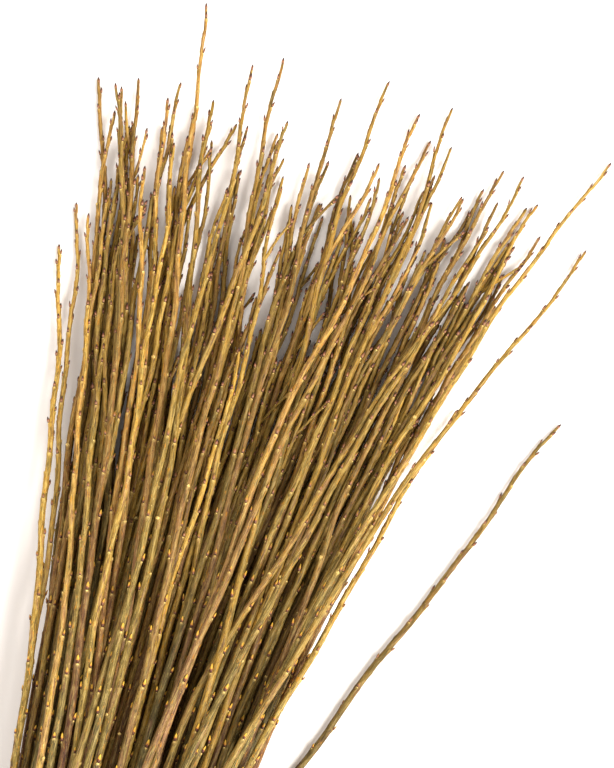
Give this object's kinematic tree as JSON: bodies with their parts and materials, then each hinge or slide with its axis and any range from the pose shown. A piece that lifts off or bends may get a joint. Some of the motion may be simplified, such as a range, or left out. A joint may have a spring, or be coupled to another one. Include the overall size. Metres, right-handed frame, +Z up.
{
  "type": "bundle of willow branches",
  "caption": "Bundle of thin bare willow branches with small buds, tied with twine near the cut ends and fanned out towards the tips, lying on its side.",
  "frame": {"origin": "middle of the underside of the lying bundle", "axes": "+Y along the bundle from the cut ends to the tips, +X across it, +Z up"},
  "size_m": [0.3588, 0.887, 0.1246],
  "materials": {
    "bark": "matt to satin bark, khaki, olive and brown, with darker buds",
    "bud": "satin bud scales, purple-brown with an orange tip",
    "cut_wood": "matt, freshly cut, with a pith",
    "twine": "matt, hairy natural fibre"
  },
  "bodies": {
    "root": {"branch_01": "bark", "branch_02": "bark", "branch_03": "bark", "branch_04": "bark", "branch_05": "bark", "branch_06": "bark", "branch_07": "bark", "branch_08": "bark", "branch_09": "bark", "branch_10": "bark", "branch_11": "bark", "branch_12": "bark", "branch_13": "bark", "branch_14": "bark", "branch_15": "bark", "branch_16": "bark", "branch_17": "bark", "branch_18": "bark", "branch_19": "bark", "branch_20": "bark", "branch_21": "bark", "branch_22": "bark", "branch_23": "bark", "branch_24": "bark", "branch_25": "bark", "branch_26": "bark", "branch_27": "bark", "branch_28": "bark", "handful_01": "bark", "handful_02": "bark", "handful_03": "bark", "handful_04": "bark", "handful_05": "bark", "handful_06": "bark", "handful_07": "bark", "handful_08": "bark", "handful_09": "bark", "handful_10": "bark", "handful_11": "bark", "handful_12": "bark", "handful_13": "bark", "handful_14": "bark", "handful_15": "bark", "handful_16": "bark", "handful_17": "bark", "handful_18": "bark", "handful_19": "bark", "handful_20": "bark", "handful_21": "bark", "handful_22": "bark", "handful_23": "bark", "handful_24": "bark", "handful_25": "bark", "handful_26": "bark", "twine_tie": "twine", "twine_knot": "twine"}
  },
  "joints": []
}
